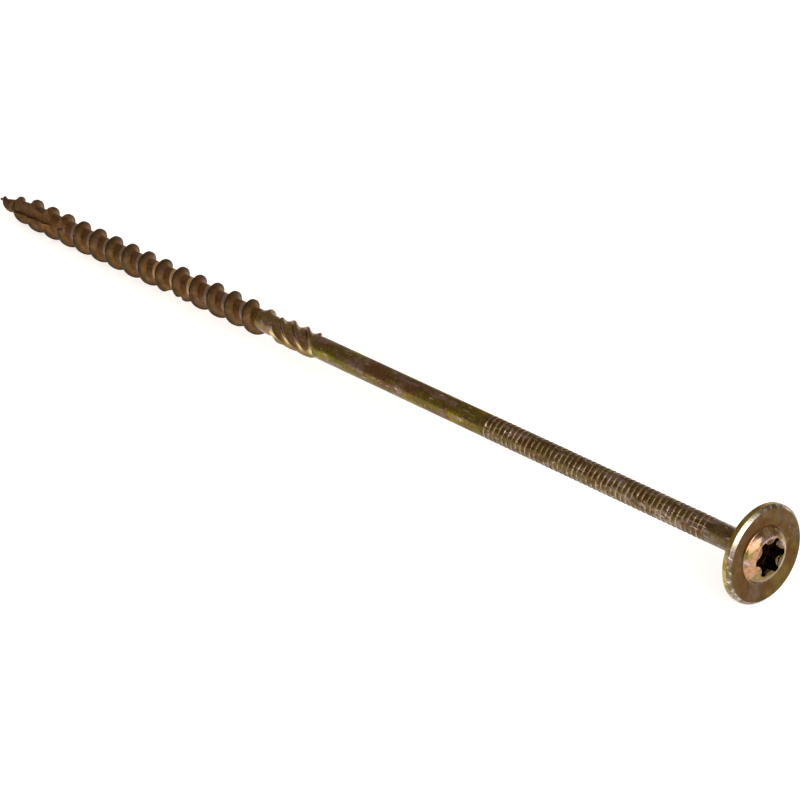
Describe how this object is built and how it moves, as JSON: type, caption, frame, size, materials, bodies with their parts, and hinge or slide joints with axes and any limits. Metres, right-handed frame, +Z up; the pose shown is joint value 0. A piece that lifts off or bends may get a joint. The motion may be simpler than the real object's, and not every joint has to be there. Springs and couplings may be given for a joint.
{
  "type": "washer head wood screw",
  "caption": "Long yellow-plated wood screw with a wide washer head, six-lobed drive, ringed shank, cutter ribs and a coarse thread with a notched point.",
  "frame": {"origin": "on the floor under the middle of the screw as it lies at rest", "axes": "+Z up, +X along the screw towards its head"},
  "size_m": [0.2746, 0.022, 0.022],
  "materials": {
    "yellow_zinc": "yellow-chromated zinc over steel, iridescent and slightly worn"
  },
  "bodies": {
    "root": {"screw": "yellow_zinc"}
  },
  "joints": []
}
